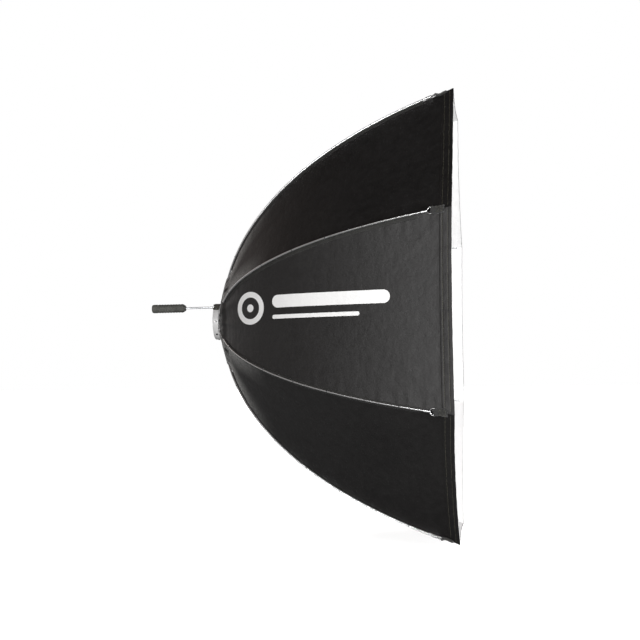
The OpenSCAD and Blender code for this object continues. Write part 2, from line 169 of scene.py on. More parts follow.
# how far each gore's rim is drawn in half way between two ribs
SCALLOP = (6.0, 2.6, 5.0, 6.0, 5.5, 6.0, 5.0, 8.5)
BLACK_OUT, BLACK_IN, LINING_OUT, LINING_IN = range(4)   # the faces of the two cloths

# broad waves of each gore: order across, phase, wavelength along, amount
rng = np.random.RandomState(11)
WAVES = []
for g in range(RIBS):
    WAVES.append([(order, rng.uniform(0, 6.28), rng.uniform(260, 520),
                   rng.uniform(0.5, 1.0) * (1 if rng.rand() > 0.5 else -1))
                  for order in range(1, 7)])
# puckers on the two sides of each seam: wavelength, phase, amount
PUCKERS = [[(length, rng.uniform(0, 6.28), amount)
            for length, amount in ((47, 0.45), (29, 0.25), (83, 0.4))] for _ in range(2 * RIBS)]


def seam_inset(s, layer):
    """how far inside the rib centre line a face lies at the seam

    Near the hub the black cloth passes over the roots of the ribs, which come out through it
    further along.
    """
    base = (3.8 + 2.6 * np.exp(-np.maximum(s - 16, 0) / 60.0)
            + 0.6 * ease(s, RIB_LEN - 90, RIB_LEN - 40))
    lip = ease(s, RIB_LEN + 6, TOTAL)
    base = base * (1 - lip) + 1.2 * lip
    if layer >= LINING_OUT:
        return base + CLOTH + LINING_GAP + (LINING_CLOTH if layer == LINING_IN else 0.0)
    over = 1 - ease(s, 100, 138)
    top = -8.4 + 1.4 * ease(s, 12, 26) + 2.0 * ease(s, 40, 80)
    inset = base * (1 - over) + top * over
    if layer == BLACK_IN:
        return inset + CLOTH
    hem = ease(s, TOTAL - HEM - 1.6, TOTAL - HEM)
    groove = sum(np.exp(-(((s - (TOTAL - d)) / 1.5) ** 2)) for d in STITCH)
    return inset - 0.8 * hem + 0.5 * groove


def gore_relief(g, s, q, half):
    """height of gore g's sag, waves, puckers and folds over its plain surface"""
    bow = 1 - q * q
    near_hub = np.exp(-np.maximum(s - 20, 0) / 150.0)
    relief = -0.026 * half * bow * ease(s, 60, 330)
    for order, phase, length, amount in WAVES[g % RIBS]:
        if order % 2:
            across = np.sin(order * math.pi * q)
        else:
            across = np.cos((order - 0.5) * math.pi * q)
        relief = relief + across * amount * (
            2.4 * near_hub * ease(s, 16, 60) / (1 + 0.2 * order)
            + 0.9 / (order + 0.5) * np.sin(2 * math.pi * s / length + phase) * ease(s, 60, 300))
    for side, offset in ((-1, 0), (1, 1)):
        dist = (1 - side * q) * half
        fade = np.exp(-dist / 26.0) * (dist / (dist + 5.0)) * ease(s, 60, 200)
        for length, phase, amount in PUCKERS[(2 * g + offset) % (2 * RIBS)]:
            relief = relief + 1.6 * amount * fade * np.sin(2 * math.pi * s / length + phase)
    # soft tension folds that run from the rib tips into the gore
    for side in (-1, 1):
        dist = (1 - side * q) * half
        to_rim = TOTAL - s
        relief = relief + (1.3 * np.exp(-((dist - 0.75 * to_rim) / 14.0) ** 2)
                           * np.exp(-to_rim / 120.0) * np.minimum(dist / 8.0, 1)
                           * ease(to_rim, 8, 40))
    # the rim itself ripples a little between its stitches
    t = q * half
    ripple = 0.7 * np.sin(t / 11.0 + 2 * g) + 0.5 * np.sin(t / 6.3 + g)
    return relief + (ease(s, TOTAL - 60, TOTAL) * bow ** 0.3 * ripple
                     * np.minimum(1, (1 - np.abs(q)) * half / 12.0))


def gore_point(g, s, q, layer):
    """point of gore g at length s; q runs from -1 on rib g to 1 on rib g + 1"""
    s, q = np.asarray(s, float), np.asarray(q, float)
    a = slope(s)
    inset = seam_inset(s, layer)
    drawn = SCALLOP[g % RIBS] * ease(s, 880, TOTAL + 10) * (1 - q * q)
    r = rib_r(s) - inset * np.sin(a) - drawn * np.cos(a)
    x = rib_x(s) + inset * np.cos(a) - drawn * np.sin(a)
    half = r * SIN_HALF
    relief = gore_relief(g, s, q, half)
    # the relief stands on the outward normal in the plane of the gore's middle
    run_x, run_r = np.sin(a), np.cos(a) * COS_HALF
    norm = np.hypot(run_x, run_r)
    angle = 2 * HALF * (g % RIBS)
    return ((x + -run_r / norm * relief)[..., None] * AXIS
            + (r * COS_HALF + run_x / norm * relief)[..., None] * radial(angle)
            + (q * half)[..., None] * tangential(angle))


def gore_normal(g, s, q, layer):
    """outward normal of gore g, by finite differences"""
    step_s, step_q = 0.8, 0.004
    q = np.clip(q, -0.9995, 0.9995)
    s = np.clip(s, 13, TOTAL - 1)
    low, high = np.clip(q - step_q, -1, 1), np.clip(q + step_q, -1, 1)
    along = gore_point(g, s + step_s, q, layer) - gore_point(g, s - step_s, q, layer)
    across = gore_point(g, s, high, layer) - gore_point(g, s, low, layer)
    normal = np.cross(across, along)
    normal /= np.linalg.norm(normal, axis=-1)[..., None]
    outward = radial(2 * HALF * (g % RIBS)) - 0.6 * AXIS
    return normal * np.sign(normal @ outward)[..., None]


# the neighbour's share is 0 on the seam and 0.5 half way; u = ratio / (first + second * ratio)
SHARE_CURVE = (0.35355, 0.14645)


def follow_neighbours(obj, k):
    """the fabric between two ribs is shared by both, so it gathers as they fold"""
    points = np.array([v.co for v in obj.data.vertices], float).reshape(-1, 3) / MM
    out = points @ radial(rib_angle(k))
    aside = points @ tangential(rib_angle(k))
    ratio = np.abs(aside) / np.maximum(out, 1e-3)
    weight = 0.5 * np.clip(ratio / (SHARE_CURVE[0] + SHARE_CURVE[1] * ratio), 0, 1)
    for name, other, pick in (("next", k % RIBS + 1, aside > 0),
                              ("prev", (k - 2) % RIBS + 1, aside < 0)):
        group = obj.vertex_groups.new(name=name)
        for i in np.nonzero(pick & (weight > 1e-4))[0]:
            group.add([int(i)], float(weight[i]), "REPLACE")
        hook = obj.modifiers.new("gather_" + name, "HOOK")
        hook.object = BODY["rib_%d" % other]
        hook.vertex_group = name
        hook.falloff_type = "NONE"
        hook.strength = 1.0
        hook.center = (0, 0, 0)
        hook.matrix_inverse = Matrix.Identity(4)


def new_object(name, verts, faces, material, closed=True):
    """smooth object from points in mm; the faces of a closed one are turned outwards"""
    verts = np.asarray(verts, float)
    if closed:
        fan = np.array([(f[0], f[i], f[i + 1]) for f in faces for i in range(1, len(f) - 1)])
        a, b, c = (verts[fan[:, i]] for i in range(3))
        if float(np.einsum("ij,ij->", a, np.cross(b, c))) < 0:
            faces = [f[::-1] for f in faces]
    mesh = bpy.data.meshes.new(name)
    mesh.from_pydata([tuple(v) for v in verts * MM], [], [tuple(int(i) for i in f) for f in faces])
    mesh.validate()
    mesh.update()
    mesh.materials.append(material)
    mesh.polygons.foreach_set("use_smooth", [True] * len(mesh.polygons))
    obj = bpy.data.objects.new(name, mesh)
    bpy.context.scene.collection.objects.link(obj)
    return obj


# ------------------------------------------------------------------ shader nodes
class Value:
    """an output of a shader node; arithmetic with it adds math nodes"""

    def __init__(self, tree, socket):
        self.tree = tree
        self.socket = socket

    def __add__(self, other):
        return math_node("ADD", self, other)

    def __radd__(self, other):
        return math_node("ADD", other, self)

    def __sub__(self, other):
        return math_node("SUBTRACT", self, other)

    def __rsub__(self, other):
        return math_node("SUBTRACT", other, self)

    def __mul__(self, other):
        return math_node("MULTIPLY", self, other)

    def __truediv__(self, other):
        return math_node("DIVIDE", self, other)

    def __pow__(self, other):
        return math_node("POWER", self, other)

    def __lt__(self, other):
        return math_node("LESS_THAN", self, other)

    def __gt__(self, other):
        return math_node("GREATER_THAN", self, other)

    def clamped(self):
        """clamp the result of this math node to 0..1"""
        self.socket.node.use_clamp = True
        return self


def feed(tree, node, inputs):
    """link or set the named inputs of a node"""
    for name, value in inputs.items():
        if isinstance(value, Value):
            tree.links.new(value.socket, node.inputs[name])
        else:
            node.inputs[name].default_value = value


def add_node(tree, kind, inputs=None, output=0, **settings):
    node = tree.nodes.new(kind)
    for name, value in settings.items():
        setattr(node, name, value)
    feed(tree, node, inputs or {})
    return Value(tree, node.outputs[output])


def math_node(operation, *operands):
    tree = next(v.tree for v in operands if isinstance(v, Value))
    return add_node(tree, "ShaderNodeMath", dict(enumerate(operands)), operation=operation)


def maximum(a, b):
    return math_node("MAXIMUM", a, b)


def span(value, start, end):
    """0 at start, 1 at end"""
    return ((value - start) / (end - start)).clamped()


def separate(vector):
    first = add_node(vector.tree, "ShaderNodeSeparateXYZ", {0: vector})
    return [Value(vector.tree, socket) for socket in first.socket.node.outputs]


def ramp(factor, low, high):
    """colour ramp between two stops, each (position, rgb)"""
    colour = add_node(factor.tree, "ShaderNodeValToRGB", {"Fac": factor}, "Color")
    for stop, (position, rgb) in zip(colour.socket.node.color_ramp.elements, (low, high)):
        stop.position = position
        stop.color = (*rgb, 1)
    return colour


def mix(factor, a, b):
    return add_node(factor.tree, "ShaderNodeMix", {"Factor": factor, "A": a, "B": b}, "Result",
                    data_type="RGBA")


def coords(tree, kind="Object"):
    return add_node(tree, "ShaderNodeTexCoord", output=kind)


def uv_map(tree, name):
    return add_node(tree, "ShaderNodeUVMap", output="UV", uv_map=name)


def camera_ray(tree):
    return add_node(tree, "ShaderNodeLightPath", output="Is Camera Ray")


def noise(vector, scale, detail=4.0, rough=0.55):
    return add_node(vector.tree, "ShaderNodeTexNoise",
                    {"Scale": scale, "Detail": detail, "Roughness": rough, "Vector": vector},
                    "Fac")


def stretched(vector, scale=(1, 1, 1)):
    return add_node(vector.tree, "ShaderNodeMapping", {"Scale": scale, "Vector": vector},
                    "Vector")


def bump(height, strength, distance, normal=None):
    inputs = {"Strength": strength, "Distance": distance, "Height": height}
    if normal is not None:
        inputs["Normal"] = normal
    return add_node(height.tree, "ShaderNodeBump", inputs, "Normal")


def weave(uv, pitch):
    """over-and-under height of a plain weave, pitch in metres"""
    threads = [add_node(uv.tree, "ShaderNodeTexWave",
                        {"Scale": 0.314 / pitch, "Distortion": 0.25, "Detail": 1.0,
                         "Detail Scale": 2.0, "Vector": uv}, "Fac",
                        wave_type="BANDS", bands_direction=axis, wave_profile="SIN")
               for axis in ("X", "Y")]
    return maximum(*threads)


# ------------------------------------------------------------------ materials
def new_material(name):
    material = bpy.data.materials.new(name)
    material.use_nodes = True
    return material, material.node_tree


def shade(material, inputs):
    tree = material.node_tree
    feed(tree, tree.nodes["Principled BSDF"], inputs)
    return material


def printed_marks(tree):
    """mask of the white print: a ring with a dot in it, and two bars with round ends"""
    x, z, _ = separate(uv_map(tree, "print"))

    def bar(start, end, level, half):
        centre = math_node("MINIMUM", maximum(x, start + half), end - half)
        from_x, from_z = x - centre, z - level
        return (from_x * from_x + from_z * from_z) < half * half

    from_x, from_z = x - 0.142, z - 0.030
    radius = math_node("SQRT", from_x * from_x + from_z * from_z)
    ring = (radius < 0.050) * (radius > 0.033)
    mask = maximum(ring, radius < 0.012)
    mask = maximum(mask, bar(start=0.222, end=0.590, level=0.046, half=0.019))
    return maximum(mask, bar(start=0.222, end=0.500, level=0.000, half=0.006))


def painted_hub_sheen(tree, uv):
    """painted sheen on the gathered cloth by the rib roots: a speckled mask, strongest where the
    cloth is seen along the surface, that lightens its base colour as a painted highlight
    """
    along, from_seam, _ = separate(uv_map(tree, "place"))
    facing = add_node(tree, "ShaderNodeLayerWeight", {"Blend": 0.5}, "Facing")
    near = span(along, 0.42, 0.16) * span(from_seam, 0.095, 0.0)
    near = near * span(facing, 0.52, 0.74)
    speck = span(noise(uv, 150.0, rough=0.7), 0.40, 0.62) * 0.8 + 0.2
    return near * speck


def fabric_material(name, dark, light, sheen, rough=0.54, pitch=0.0011, printed=False,
                    painted_sheen_at_hub=False):
    material, tree = new_material(name)
    uv = uv_map(tree, "cloth")
    big = noise(uv, 4.5, detail=3.0)
    mid = noise(uv, 38.0, detail=5.0, rough=0.6)
    fine = noise(stretched(uv, (1.0, 0.35, 1.0)), 620.0, detail=2.0, rough=0.7)
    slub = noise(stretched(uv, (0.30, 1.0, 1.0)), 210.0, detail=3.0, rough=0.7)
    tone = (big * 0.30 + mid * 0.30) + (fine * 0.18 + slub * 0.22)
    colour = ramp(tone, (0.42, dark), (0.58, light))
    if printed:
        mask = printed_marks(tree) * (0.86 + fine * 0.2).clamped()
        colour = mix(mask, colour, (0.93, 0.93, 0.925, 1))
    if painted_sheen_at_hub:
        # painted sheen: the cloth by the rib roots is lightened towards pale grey where it is seen
        # at a grazing angle
        colour = mix(painted_hub_sheen(tree, uv), colour, (0.66, 0.66, 0.64, 1))
    threads = weave(uv, pitch) * 0.6 + fine * 0.4
    creases = bump(mid, strength=0.5, distance=0.0040)
    return shade(material, {
        "Base Color": colour,
        "Roughness": (rough - 0.08) + mid * 0.16,
        "Sheen Weight": sheen,
        "Sheen Roughness": 0.45,
        "Specular IOR Level": 0.48,
        "Normal": bump(threads, strength=0.35, distance=0.00018, normal=creases),
    })


def silver_material(name):
    material, tree = new_material(name)
    uv = uv_map(tree, "cloth")
    big = noise(uv, 9.0, detail=3.0)
    crinkle = noise(uv, 130.0, detail=5.0, rough=0.62)
    silver = ramp(crinkle, (0.3, (0.52, 0.53, 0.54)), (0.7, (0.66, 0.67, 0.68)))
    # the turned-in hem has no silver coat: it is plain white cloth
    place = separate(uv_map(tree, "place"))[0]
    along = place - (place > 1.5) * 2.0     # takes off gore 0's offset
    hem = ((along - (TOTAL - 58) * MM) / 0.003).clamped()
    folds = bump(big, strength=0.35, distance=0.006)
    creases = bump(crinkle, strength=0.5, distance=0.0012, normal=folds)
    return shade(material, {
        "Base Color": mix(hem, silver, (0.95, 0.95, 0.95, 1)),
        "Metallic": (1.0 - hem) * 0.65,
        "Roughness": 0.42 + crinkle * 0.18,
        "Normal": bump(weave(uv, 0.0013), strength=0.3, distance=0.0002, normal=creases),
    })


def metal_material(name, base, rough, aniso=0.0, scale=220.0, metallic=1.0):
    material, tree = new_material(name)
    fine = noise(stretched(coords(tree)), scale, detail=5.0, rough=0.65)
    broad = noise(coords(tree), 14.0, detail=3.0)
    low = tuple(c * 0.86 for c in base)
    high = tuple(min(1, c * 1.06) for c in base)
    return shade(material, {
        "Base Color": ramp(fine * 0.5 + broad * 0.5, (0.3, low), (0.7, high)),
        "Metallic": metallic,
        "Roughness": (rough - 0.05) + fine * 0.12,
        "Anisotropic": aniso,
        "Normal": bump(fine, strength=0.12, distance=0.0002),
    })


def paint_material(name, base):
    material, tree = new_material(name)
    place = coords(tree)
    peel = noise(place, 900.0, detail=2.0)
    dirt = noise(place, 35.0, detail=5.0, rough=0.65)
    return shade(material, {
        "Base Color": ramp(dirt, (0.28, tuple(c * 0.90 for c in base)), (0.50, base)),
        "Roughness": 0.32 + dirt * 0.14,
        "Coat Weight": 0.15,
        "Normal": bump(peel, strength=0.12, distance=0.0003),
    })


def plastic_material(name, base, rough, grain=1500.0, depth=0.00025):
    material, tree = new_material(name)
    place = coords(tree)
    pits = noise(place, grain, detail=3.0, rough=0.6)
    wear = noise(place, 60.0, detail=5.0, rough=0.6)
    high = tuple(min(1, c * 1.35 + 0.004) for c in base)
    low = tuple(c * 0.8 for c in base)
    return shade(material, {
        "Base Color": ramp(wear, (0.3, low), (0.72, high)),
        "Roughness": (rough - 0.08) + wear * 0.18,
        "Normal": bump(pits, strength=0.3, distance=depth),
    })


def webbing_material(name, dark, light):
    material, tree = new_material(name)
    uv = uv_map(tree, "cloth")
    threads = weave(uv, 0.0016)
    tone = threads * 0.5 + noise(uv, 240.0, detail=3.0) * 0.5
    return shade(material, {
        "Base Color": ramp(tone, (0.25, dark), (0.8, light)),
        "Roughness": 0.75,
        "Sheen Weight": 0.3,
        "Normal": bump(threads, strength=0.6, distance=0.0005),
    })


def thread_material(name, base):
    material, tree = new_material(name)
    fibre = noise(coords(tree), 700.0, detail=3.0)
    return shade(material, {
        "Base Color": ramp(fibre, (0.3, tuple(c * 0.8 for c in base)), (0.7, base)),
        "Roughness": 0.6,
        "Normal": bump(fibre, strength=0.3, distance=0.0002),
    })


# the black cloth gets a painted sheen in its base colour by the rib roots
BLACK_CLOTH = dict(dark=(0.0036, 0.0030, 0.0029), light=(0.0104, 0.0095, 0.0094), sheen=0.03,
                   painted_sheen_at_hub=True)
M_OUT = fabric_material("black_cloth", **BLACK_CLOTH)
M_PRINT = fabric_material("black_cloth_print", printed=True, **BLACK_CLOTH)
M_SILVER = silver_material("silver_lining")
M_SILVER_SEAM = metal_material("silver_seam_tape", (0.70, 0.71, 0.72), rough=0.42, metallic=0.85)
M_EDGE = fabric_material("edge_binding", (0.007, 0.007, 0.006), (0.018, 0.0175, 0.0155),
                         rough=0.7, sheen=0.07, pitch=0.0014)
M_WEB = webbing_material("webbing_grey", (0.0045, 0.0045, 0.0045), (0.014, 0.014, 0.0135))
M_THREAD = thread_material("thread_olive", (0.12, 0.115, 0.082))
M_THREAD_DARK = thread_material("thread_dark", (0.055, 0.055, 0.058))
M_ROD = metal_material("bright_steel", (0.90, 0.905, 0.91), rough=0.30, aniso=0.4, scale=350.0)
M_STEEL = metal_material("plain_steel", (0.62, 0.63, 0.65), rough=0.30, aniso=0.2)
M_ALU = metal_material("satin_aluminium", (0.72, 0.73, 0.75), rough=0.36, aniso=0.1)
M_BLACK_STEEL = metal_material("black_oxide", (0.09, 0.09, 0.092), rough=0.42, metallic=0.8)
M_WHITE = paint_material("white_powder_coat", (0.93, 0.93, 0.93))
M_GREY = plastic_material("grey_moulding", (0.13, 0.124, 0.108), rough=0.5)
M_BLACK = plastic_material("black_moulding", (0.022, 0.022, 0.023), rough=0.45)
M_RUBBER = plastic_material("grey_rubber", (0.074, 0.075, 0.068), rough=0.72,
                            grain=900.0, depth=0.0004)
M_BLACK_RUBBER = plastic_material("black_rubber", (0.020, 0.020, 0.020), rough=0.75,
                                  grain=900.0, depth=0.0004)

RIB_NAMES = ["rib_%d" % k for k in range(1, RIBS + 1)]
CAD_MATERIALS = (
    (M_WHITE, ["hub_dish", "hub_back_cover"]),
    (M_BLACK_STEEL, ["cover_screws", "rim_screws"]),
    (M_STEEL, ["rib_hinge_pins", "stop_ring", "centre_shaft", "shaft_pin", "bracket_screws",
               "pivot_bolt", "pivot_nut", "handle_rod"]),
    (M_ALU, ["runner_tube"] + [rib + "_socket" for rib in RIB_NAMES]),
    (M_BLACK, ["shaft_end_plug", "runner_collar", "lock_screw", "grip_end_cap"]),
    (M_BLACK_RUBBER, ["runner_grip"]),
    (M_GREY, ["handle_bracket", "handle_eye"]),
    (M_RUBBER, ["handle_grip"]),
    (M_ROD, [rib + end for rib in RIB_NAMES for end in ("_rod", "_tip")]),
)
for material, names in CAD_MATERIALS:
    for name in names:
        slots = NODE[name].data.materials
        slots.clear()
        slots.append(material)

# ------------------------------------------------------------------ canopy
# lengths of the mesh rows, closer together at the hub, the hem and the stitch lines
RIM_ROWS = [TOTAL - HEM + np.array([-3, -1.6, -0.8, 0, 1.5]),
            *[TOTAL - d + np.array([-4, -1.8, -0.9, 0, 0.9, 1.8, 4]) for d in STITCH]]
ROWS_OUT = np.unique(np.concatenate([
    np.linspace(12, 44, 12), np.linspace(44, 300, 46), np.linspace(300, 980, 46),
    np.linspace(980, TOTAL - HEM - 3, 9), *RIM_ROWS, TOTAL + np.array([-6, -3, -1.2, -0.4, 0]),
]))
ROWS_IN = np.unique(np.concatenate([
    np.linspace(17, 60, 8), np.linspace(60, 300, 24), np.linspace(300, 980, 44),
    np.linspace(980, TOTAL - 1.5, 12),
]))
COLS = 24           # columns from a seam to the middle of a gore
UNPRINTED = -9.0    # place on the print map where there is no mark


def canopy_piece(name, k, rows, layers, materials):
    """a closed two-faced sheet, from the middle of one gore over rib k to the middle of the next

    materials are those of the outer face, the inner face and the edges.
    """
    spread = np.linspace(0, 1, COLS + 1) ** 1.2
    cols = [(k - 1, 1 - u) for u in spread[::-1]][:-1] + [(k, -(1 - u)) for u in spread]
    row_count, col_count = len(rows), len(cols)
    vert_count = 2 * row_count * col_count
    width = half_width(rows)

    def column(g, q, face):
        """points, normals and the cloth, print and place maps of one column"""
        front = g % RIBS == 0
        q_rows = np.full(row_count, q)
        points = gore_point(g, rows, q_rows, layers[face])
        normals = gore_normal(g, rows, q_rows, layers[face]) * (1 if face == 0 else -1)
        cloth = np.stack([rows * MM + 0.37 * g, q * width * MM + 0.91 * g], 1)
        if front:
            marks = np.stack([(points[:, 0] + HINGE_X) * MM, points[:, 2] * MM], 1)
        else:
            marks = np.full((row_count, 2), UNPRINTED)
        # length and distance from the seam, which place the painted sheen by the hub and the white
        # hem; gore 0 is told apart by 2 m added to its length, which keeps the painted sheen off it
        place = np.stack([rows * MM + (2.0 if front else 0.0), (1 - abs(q)) * width * MM], 1)
        return points, normals, cloth, marks, place

    columns = [column(g, q, face) for face in (0, 1) for g, q in cols]
    # the seam column is shared by two gores: its faces in gore k - 1 take that gore's values
    columns += [column(k - 1, 1.0, face) for face in (0, 1)]
    verts, normals, cloth, marks, place = (np.concatenate(part) for part in zip(*columns))
    verts = verts[:vert_count]

    def vertex(face, c, r):
        return (face * col_count + c) * row_count + r

    def source(face, c, r, first_gore):
        """which row of the column data a face corner takes"""
        return np.where(first_gore & (c == COLS), vert_count + face * row_count + r,
                        vertex(face, c, r))

    faces, sources, slots = [], [], []

    def add_faces(corners, first_gore, slot):
        faces.append(np.stack([vertex(*corner) for corner in corners], 1))
        sources.append(np.stack([source(*corner, first_gore) for corner in corners], 1))
        slots.append(np.full(len(faces[-1]), slot))

    c, r = (grid.ravel() for grid in
            np.meshgrid(np.arange(col_count - 1), np.arange(row_count - 1), indexing="ij"))
    add_faces([(0, c, r), (0, c, r + 1), (0, c + 1, r + 1), (0, c + 1, r)], c < COLS, 0)
    add_faces([(1, c, r), (1, c + 1, r), (1, c + 1, r + 1), (1, c, r + 1)], c < COLS, 1)
    c = np.arange(col_count - 1)
    for r, order in ((row_count - 1, -1), (0, 1)):
        corners = [(0, c, r), (0, c + 1, r), (1, c + 1, r), (1, c, r)]
        add_faces(corners[::order], c < COLS, 2)
    r = np.arange(row_count - 1)
    for c, order in ((0, 1), (col_count - 1, -1)):
        corners = [(0, c, r), (1, c, r), (1, c, r + 1), (0, c, r + 1)]
        add_faces(corners[::order], False, 2)
    faces, sources, slots = (np.concatenate(part) for part in (faces, sources, slots))

    # the edges take their faces' own normals
    edge = slots == 2
    flat = np.cross(verts[faces[:, 1]] - verts[faces[:, 0]], verts[faces[:, 2]] - verts[faces[:, 0]])
    flat /= np.maximum(np.linalg.norm(flat, axis=1), 1e-9)[:, None]
    corner_normals = normals[sources]
    corner_normals[edge] = flat[edge][:, None, :]
    corner_marks = marks[sources]
    corner_marks[slots > 0] = UNPRINTED

    mesh = bpy.data.meshes.new(name)
    mesh.from_pydata((verts * MM).tolist(), [], faces.tolist())
    for material in materials:
        mesh.materials.append(material)
    mesh.polygons.foreach_set("material_index", slots.astype(np.int32))
    mesh.polygons.foreach_set("use_smooth", np.ones(len(faces), bool))
    for map_name, values in (("cloth", cloth[sources]), ("print", corner_marks),
                             ("place", place[sources])):
        layer = mesh.uv_layers.new(name=map_name)
        layer.data.foreach_set("uv", np.ascontiguousarray(values, np.float32).ravel())
    mesh.update()
    mesh.normals_split_custom_set(corner_normals.reshape(-1, 3).tolist())
    obj = bpy.data.objects.new(name, mesh)
    bpy.context.scene.collection.objects.link(obj)
    return obj


# ------------------------------------------------------------------ stitches
# a stitch's outline along it (place, size) and its section (across, up)
STITCH_RINGS = [(-1.0, 0.25), (-0.72, 0.85), (0.0, 1.0), (0.72, 0.85), (1.0, 0.25)]
STITCH_SECTION = [(-1.0, 0.0), (-0.6, 0.85), (0.0, 1.1), (0.6, 0.85), (1.0, 0.0), (0.0, -0.5)]


def stitches(name, points, directions, normals, material, length=3.6, width=0.85, height=0.5):
    """a row of thread stitches: each is a short rounded bar lying on the cloth"""
    verts, faces = [], []
    m = len(STITCH_SECTION)
    for point, along, up in zip(points, directions, normals):
        along = along / np.linalg.norm(along)
        up = up - along * (up @ along)
        up = up / np.linalg.norm(up)
        across = np.cross(up, along)
        base = len(verts)
        for place, size in STITCH_RINGS:
            for x, y in STITCH_SECTION:
                verts.append(point + along * place * length / 2 + across * x * width / 2 * size
                             + up * (y * height * size))
        last = base + (len(STITCH_RINGS) - 1) * m
        for ring in range(base, last, m):
            for j in range(m):
                j2 = (j + 1) % m
                faces.append((ring + j, ring + j2, ring + m + j2, ring + m + j))
        faces.append(tuple(base + j for j in range(m))[::-1])
        faces.append(tuple(last + j for j in range(m)))
    return new_object(name, verts, faces, material)


def hem_stitching(k):
    points, directions, normals = [], [], []
    pitch, clear = 6.2, 9       # from stitch to stitch, and free of the seam
    for g, side in ((k - 1, 1), (k, -1)):
        for d in STITCH:
            s = TOTAL - d
            half = float(half_width(s))
            n = int((half - clear) / pitch)
            from_seam = clear + pitch * np.arange(n) + 0.8
            q = side * (1 - from_seam / half)
            s_rows = np.full(n, s)
            here = gore_point(g, s_rows, q, BLACK_OUT)
            ahead = gore_point(g, s_rows, np.clip(q + 0.004, -1, 1), BLACK_OUT)
            normal = gore_normal(g, s_rows, q, BLACK_OUT)
            points += list(here + normal * 0.25)
            directions += list(ahead - here)
            normals += list(normal)
    return stitches("hem_stitching_%d" % k, points, directions, normals, M_THREAD, width=1.2)


FLANGE = 14.0       # width of the seam allowance


def flange_stitching(k):
    """the line of stitches that holds the seam allowance down, on one side of the seam"""
    def line(s):
        return 1 - (FLANGE - 2.2) / half_width(s)

    s = np.arange(200.0, RIB_LEN - 60, 6.4)
    here = gore_point(k - 1, s, line(s), BLACK_OUT)
    ahead = gore_point(k - 1, s + 1.0, line(s + 1.0), BLACK_OUT)
    normal = gore_normal(k - 1, s, line(s), BLACK_OUT)
    return stitches("flange_stitching_%d" % k, list(here + normal * 0.85), list(ahead - here),
                    list(normal), M_THREAD_DARK)


# ------------------------------------------------------------------ bands, ties and tabs
def new_band(name, verts, uvs, rows, cols, material, mirrored=False):
    """closed band from two layers of cols x rows points; mirrored turns its faces over"""
    def vertex(layer, c, r):
        return (layer * cols + c) * rows + r

    corners = []
    for c in range(cols - 1):
        for r in range(rows - 1):
            corners.append([(0, c, r), (0, c + 1, r), (0, c + 1, r + 1), (0, c, r + 1)])
            corners.append([(1, c, r), (1, c, r + 1), (1, c + 1, r + 1), (1, c + 1, r)])
        r = rows - 1
        corners.append([(0, c, r), (0, c + 1, r), (1, c + 1, r), (1, c, r)])
        corners.append([(0, c, 0), (1, c, 0), (1, c + 1, 0), (0, c + 1, 0)])
    c = cols - 1
    for r in range(rows - 1):
        corners.append([(0, 0, r), (0, 0, r + 1), (1, 0, r + 1), (1, 0, r)])
        corners.append([(0, c, r), (1, c, r), (1, c, r + 1), (0, c, r + 1)])
    order = (0, 3, 2, 1) if mirrored else (0, 1, 2, 3)
    faces = [tuple(vertex(*face[i]) for i in order) for face in corners]
    obj = new_object(name, verts, faces, material)
    mesh = obj.data
    layer = mesh.uv_layers.new(name="cloth")
    loop_verts = np.zeros(len(mesh.loops), np.int64)
    mesh.loops.foreach_get("vertex_index", loop_verts)
    layer.data.foreach_set("uv", np.asarray(uvs, np.float32)[loop_verts].ravel())
    return obj


def seam_band(name, k, s, half_widths, lift, material, edge, layer=BLACK_OUT, sign=1.0,
              cols=(-1.0, -0.93, -0.5, -0.12, 0.12, 0.5, 0.93, 1.0)):
    """a sewn band that follows the seam of rib k, folded over it, closed on all sides

    cols are places across it, as shares of its half width; edge is the share of the
    thickness left at its sides; sign is -1 on the inner side of the canopy.
    """
    thickness = 0.7
    half_widths = np.broadcast_to(np.asarray(half_widths, float), s.shape)
    rib_normal = rib_outward(k, s) * sign
    verts, uvs = [], []
    for top in (True, False):
        for c in cols:
            g, side = (k, -1) if c > 0 else (k - 1, 1)
            q = side * (1 - abs(c) * half_widths / half_width(s))
            points = gore_point(g, s, q, layer)
            normals = gore_normal(g, s, q, layer) * sign
            full = 1.0 if min(cols) + 0.05 < c < max(cols) - 0.05 else edge
            height = lift + (thickness if top else 0.0) * full
            # towards the seam both sides lean to the rib's own normal
            share = min(1.0, abs(c) / 0.5)
            lean = normals * share + rib_normal * (1 - share)
            lean /= np.linalg.norm(lean, axis=1)[:, None]
            verts += list(points + lean * height)
            uvs += [(length * MM, c * half * MM) for length, half in zip(s, half_widths)]
    return new_band(name, verts, uvs, len(s), len(cols), material)


def rod_ties(k):
    """short cord loops that hold the rod against the seam"""
    n, m = 20, 6                # steps round a loop and round its cord
    loop_r, drawn = 3.3, 1.3    # drawn: how far the loop's inner half reaches down to the seam
    verts, faces = [], []
    tangent = tangential(rib_angle(k))
    for s in (190.0, 420.0, 560.0, 690.0, 820.0, 930.0):
        along, out = rib_along(k, s), rib_outward(k, s)
        for turn in (-0.55, 0.55):
            base = len(verts)
            for i in range(n):
                f = 2 * math.pi * i / n
                aside, up = loop_r * math.sin(f), loop_r * math.cos(f)
                if up < 0:
                    up *= drawn
                centre = (rib_point(k, s) + along * (turn + 0.25 * math.sin(f)) + out * up
                          + tangent * aside)
                ray = out * math.cos(f) + tangent * math.sin(f)
                for j in range(m):
                    b = 2 * math.pi * j / m
                    verts.append(centre + ray * 0.4 * math.cos(b) + along * 0.5 * math.sin(b))
            for i in range(n):
                ring, after = base + i * m, base + ((i + 1) % n) * m
                for j in range(m):
                    j2 = (j + 1) % m
                    faces.append((ring + j, after + j, after + j2, ring + j2))
    return new_object("rod_ties_%d" % k, verts, faces, M_THREAD_DARK)


TAB_BAR = RIB_LEN - 3.0     # length at which the D-ring's bar lies
TAB_HALF_CLOTH = 0.75
TAB_COLS = [-11.0, -10.2, -5.0, 0.0, 5.0, 10.2, 11.0]


